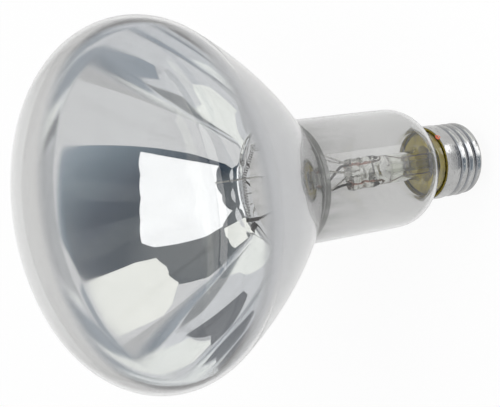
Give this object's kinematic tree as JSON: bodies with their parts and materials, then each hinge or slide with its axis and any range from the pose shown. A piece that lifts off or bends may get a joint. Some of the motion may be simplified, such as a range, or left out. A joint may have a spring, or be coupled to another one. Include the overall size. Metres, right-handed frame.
{
  "type": "infrared reflector lamp bulb",
  "caption": "Infrared heat lamp bulb: clear domed face, mirrored reflector, long clear neck with a pressed stem and ring filament, and an aluminium screw cap.",
  "frame": {"origin": "tip of the centre contact, on the lamp's axis", "axes": "+Z along the axis from the cap to the face, +X through the side circuit's lead wire, +Y across the flat pinch"},
  "size_m": [0.125, 0.125, 0.183],
  "materials": {
    "clear_glass": "clear, blown",
    "stem_glass": "clear, pressed",
    "mirror": "bright, vapour coated",
    "nickel": "dull",
    "molybdenum": "drawn",
    "tungsten": "drawn and coiled",
    "copper": "bare",
    "aluminium": "rolled, bright",
    "black_glass": "black, glossy",
    "brass": "stamped",
    "solder": "dull",
    "cement": "matt, baked"
  },
  "bodies": {
    "root": {"glass_envelope": "clear_glass", "mirror_coating": "mirror", "inner_lead_centre": "nickel", "inner_lead_side": "nickel", "filament": "tungsten", "seal_wire_side": "copper", "seal_wire_centre": "copper", "stem_glass": "stem_glass", "exhaust_tube": "stem_glass", "outer_lead_centre": "copper", "outer_lead_side": "copper", "cap_shell": "aluminium", "cap_insulator": "black_glass", "centre_contact": "brass", "side_weld": "copper", "basing_cement": "cement", "centre_solder": "solder", "support_wire_1": "molybdenum", "support_wire_2": "molybdenum", "support_wire_3": "molybdenum", "support_wire_4": "molybdenum", "support_wire_5": "molybdenum"}
  },
  "joints": []
}
